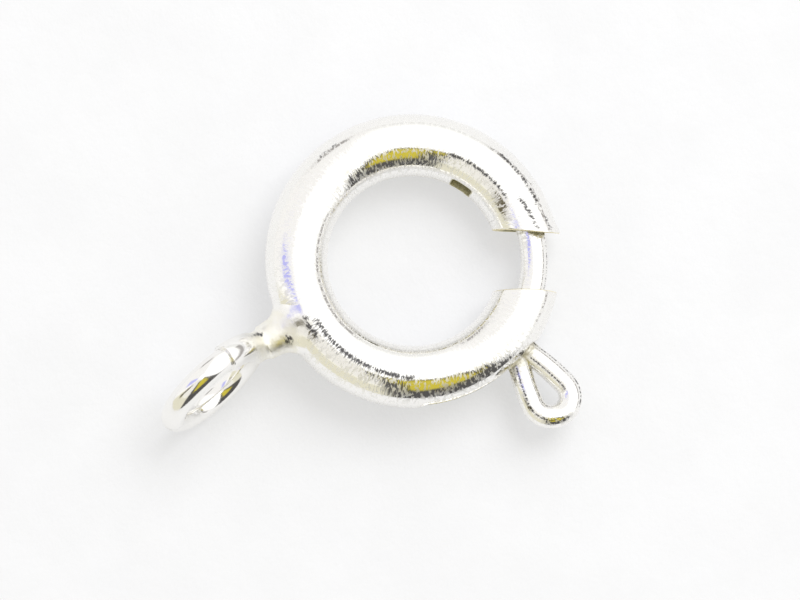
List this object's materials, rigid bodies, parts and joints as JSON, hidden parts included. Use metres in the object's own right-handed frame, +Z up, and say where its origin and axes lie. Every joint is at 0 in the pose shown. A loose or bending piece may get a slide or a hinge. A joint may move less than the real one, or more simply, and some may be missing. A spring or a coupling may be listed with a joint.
{
  "type": "spring ring clasp",
  "caption": "Round jewellery clasp: a hollow ring whose opening is closed by a sprung latch with a teardrop trigger, and an upright eye soldered to its side.",
  "frame": {"origin": "on the surface that the clasp lies on, under the middle of its outline", "axes": "+X from the eye towards the far side of the ring, +Y to the left of that seen from above, +Z up from the surface"},
  "size_m": [0.009, 0.0074, 0.0025],
  "materials": {
    "silver": "polished silver plate on brass, with fine rolling marks",
    "spring_wire": "drawn steel wire"
  },
  "bodies": {
    "ring": {"ring_body": "silver", "coil_spring": "spring_wire"},
    "latch": {"latch": "silver"}
  },
  "joints": [
    {"name": "latch_slide", "type": "hinge", "parent": "ring", "child": "latch", "pos_m": [0.00152, 0.0007, 0.00084], "axis": [-0.0886, 0, -0.9961], "range_deg": [0, 38], "stiffness_Nm_per_rad": 0.005, "springref_deg": -22.92, "deforming": ["coil_spring"]}
  ]
}
